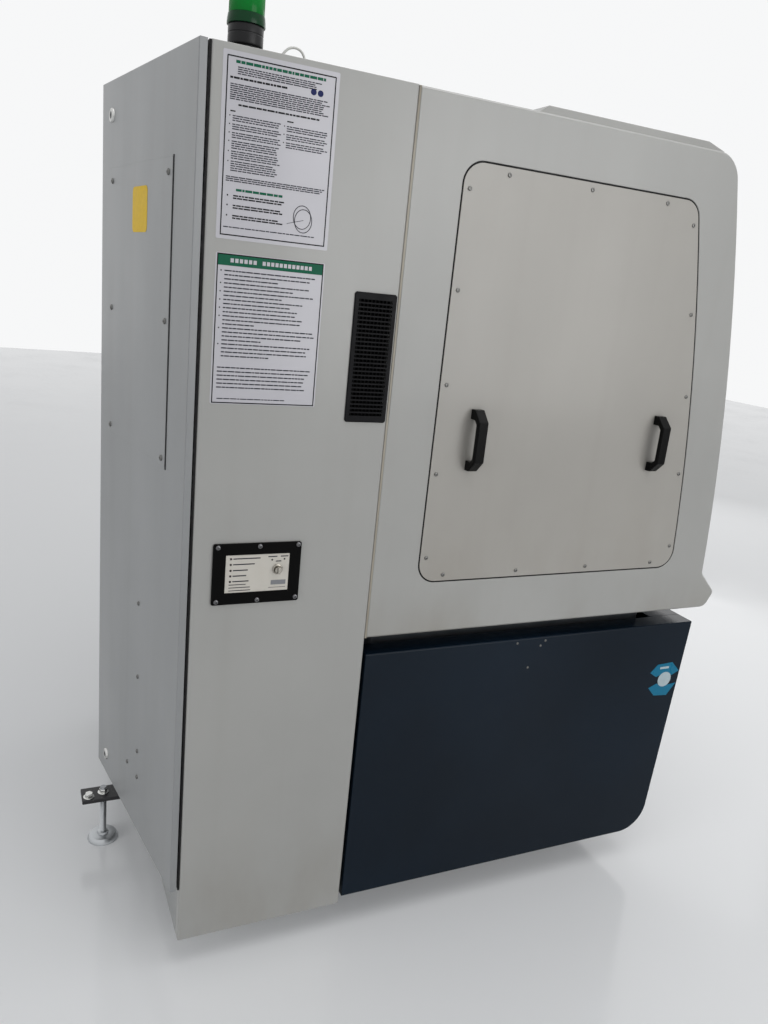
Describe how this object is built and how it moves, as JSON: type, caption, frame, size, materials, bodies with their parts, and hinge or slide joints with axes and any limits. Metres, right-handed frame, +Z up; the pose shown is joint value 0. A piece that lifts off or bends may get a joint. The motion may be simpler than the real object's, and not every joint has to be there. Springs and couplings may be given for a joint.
{
  "type": "cnc tool grinder",
  "caption": "Enclosed tool grinding machine with a tall electrical cabinet at the back, a bowed front with a sliding door, a screwed side hatch, a dark plinth and a signal lamp.",
  "frame": {"origin": "on the floor, below the middle of the whole machine's box, from the hatch handles to the right side and from the tip of the front lip to the back of the rear foot bracket", "axes": "+Z up, the bowed front faces -Y, the cabinet's rear doors face +Y, the hatch side faces -X"},
  "size_m": [1.342, 1.7617, 2.26],
  "materials": {
    "body_paint": "fine satin texture",
    "door_paint": "fine satin texture",
    "plinth_paint": "fine satin texture",
    "bed_casting": "painted casting, matt",
    "grey_casting": "painted casting, matt",
    "zinc_steel": "zinc plated",
    "ground_steel": "ground",
    "bright_screw": "polished zinc",
    "black_bracket": "satin",
    "black_plastic": "moulded",
    "dark_plastic": "moulded",
    "grey_plastic": "moulded",
    "white_print": "printed",
    "black_rubber": "matt",
    "beige_seal": "cast in place",
    "lamp_green": "translucent, ribbed",
    "stop_red": "gloss",
    "start_green": "gloss",
    "screen_glass": "gloss",
    "window": "clear",
    "abrasive": "open grain",
    "white_cable": "smooth"
  },
  "bodies": {
    "machine": {"machine_bed": "bed_casting", "levelling_feet": "zinc_steel", "foot_bracket": "black_bracket", "plinth_side_left": "plinth_paint", "plinth_side_right": "plinth_paint", "plinth_front": "plinth_paint", "cabinet_side_left": "body_paint", "cabinet_side_right": "body_paint", "cabinet_roof": "body_paint", "cabinet_bulkhead": "body_paint", "cabinet_rear_frame": "body_paint", "door_gaskets": "black_rubber", "frame_hinges": "zinc_steel", "mounting_plate": "zinc_steel", "wiring_ducts": "grey_plastic", "servo_drives": "dark_plastic", "contactors": "black_plastic", "vent_grille": "black_plastic", "display_bezel": "black_plastic", "display_plate": "white_print", "seam_seal": "beige_seal", "enclosure_side_left": "body_paint", "enclosure_side_right": "body_paint", "enclosure_roof": "body_paint", "roof_lid": "body_paint", "hatch": "body_paint", "hatch_seal": "black_rubber", "hatch_screws": "bright_screw", "hatch_handles": "black_plastic", "front_frame": "body_paint", "door_rails": "zinc_steel", "chamber_tray": "zinc_steel", "console_panel": "door_paint", "console_screen": "screen_glass", "beacon_base": "black_plastic", "beacon_lens": "lamp_green", "beacon_cable": "white_cable", "bed_rails": "ground_steel"},
    "rear_door_left": {"rear_door_left": "door_paint", "rear_door_cover_plate": "door_paint", "lock_bodies_left": "bright_screw"},
    "rear_door_right": {"rear_door_right": "door_paint", "lock_bodies_right": "bright_screw"},
    "front_door": {"front_door": "body_paint", "front_door_window": "window", "front_door_handle": "black_plastic"},
    "lock_core_left_upper": {"lock_core_left_upper": "bright_screw"},
    "lock_core_left_lower": {"lock_core_left_lower": "bright_screw"},
    "lock_core_right_upper": {"lock_core_right_upper": "bright_screw"},
    "lock_core_right_lower": {"lock_core_right_lower": "bright_screw"},
    "key_switch": {"key_switch": "bright_screw"},
    "emergency_stop": {"emergency_stop": "stop_red"},
    "start_button": {"start_button": "start_green"},
    "override_knob": {"override_knob": "black_plastic"},
    "wheel_column": {"wheel_column": "grey_casting"},
    "spindle_head": {"spindle_head": "grey_casting"},
    "wheel_pack": {"wheel_pack": "abrasive"},
    "work_table": {"work_table": "ground_steel"},
    "workhead": {"workhead": "grey_casting"},
    "collet_spindle": {"collet_spindle": "ground_steel"}
  },
  "joints": [
    {"name": "rear_door_left_hinge", "type": "hinge", "parent": "machine", "child": "rear_door_left", "pos_m": [-0.621, 0.712, 1.17], "axis": [0, 0, 1], "range_deg": [-9.3, 100.7]},
    {"name": "rear_door_right_hinge", "type": "hinge", "parent": "machine", "child": "rear_door_right", "pos_m": [0.663, 0.712, 1.17], "axis": [0, 0, -1], "range_deg": [0, 110]},
    {"name": "lock_left_upper_turn", "type": "hinge", "parent": "rear_door_left", "child": "lock_core_left_upper", "pos_m": [-0.07779, 0.81058, 2.032], "axis": [0.1616, -0.9869, 0], "range_deg": [0, 90]},
    {"name": "lock_right_upper_turn", "type": "hinge", "parent": "rear_door_right", "child": "lock_core_right_upper", "pos_m": [0.111, 0.7215, 2.032], "axis": [0, 1, 0], "range_deg": [0, 90]},
    {"name": "lock_left_lower_turn", "type": "hinge", "parent": "rear_door_left", "child": "lock_core_left_lower", "pos_m": [-0.07779, 0.81058, 0.294], "axis": [0.1616, -0.9869, 0], "range_deg": [0, 90]},
    {"name": "lock_right_lower_turn", "type": "hinge", "parent": "rear_door_right", "child": "lock_core_right_lower", "pos_m": [0.111, 0.7215, 0.294], "axis": [0, 1, 0], "range_deg": [0, 90]},
    {"name": "front_door_slide", "type": "slide", "parent": "machine", "child": "front_door", "axis": [1, 0, 0], "range_m": [0, 0.47]},
    {"name": "key_turn", "type": "hinge", "parent": "machine", "child": "key_switch", "pos_m": [-0.629, 0.503, 1.06], "axis": [-1, 0, 0], "range_deg": [0, 90]},
    {"name": "emergency_stop_press", "type": "slide", "parent": "machine", "child": "emergency_stop", "axis": [0, 1, 0], "range_m": [0, 0.005]},
    {"name": "start_button_press", "type": "slide", "parent": "machine", "child": "start_button", "axis": [0, 1, 0], "range_m": [0, 0.003], "stiffness_N_per_m": 800},
    {"name": "override_knob_turn", "type": "hinge", "parent": "machine", "child": "override_knob", "pos_m": [0.461, -0.831, 1.34], "axis": [0, -1, 0], "range_deg": [-135, 135]},
    {"name": "column_cross_slide", "type": "slide", "parent": "machine", "child": "wheel_column", "axis": [1, 0, 0], "range_m": [-0.22, 0.22]},
    {"name": "head_vertical_slide", "type": "slide", "parent": "wheel_column", "child": "spindle_head", "axis": [0, 0, 1], "range_m": [-0.18, 0.18]},
    {"name": "wheel_spin", "type": "hinge", "parent": "spindle_head", "child": "wheel_pack", "pos_m": [0.091, -0.188, 1.35], "axis": [1, 0, 0], "continuous": true},
    {"name": "table_slide", "type": "slide", "parent": "machine", "child": "work_table", "axis": [0, 1, 0], "range_m": [0, 0.1]},
    {"name": "workhead_swivel", "type": "hinge", "parent": "work_table", "child": "workhead", "pos_m": [0.021, -0.413, 0.95], "axis": [0, 0, 1], "range_deg": [-90, 90]},
    {"name": "collet_spin", "type": "hinge", "parent": "workhead", "child": "collet_spindle", "pos_m": [0.021, -0.343, 1.075], "axis": [0, 1, 0], "continuous": true}
  ]
}
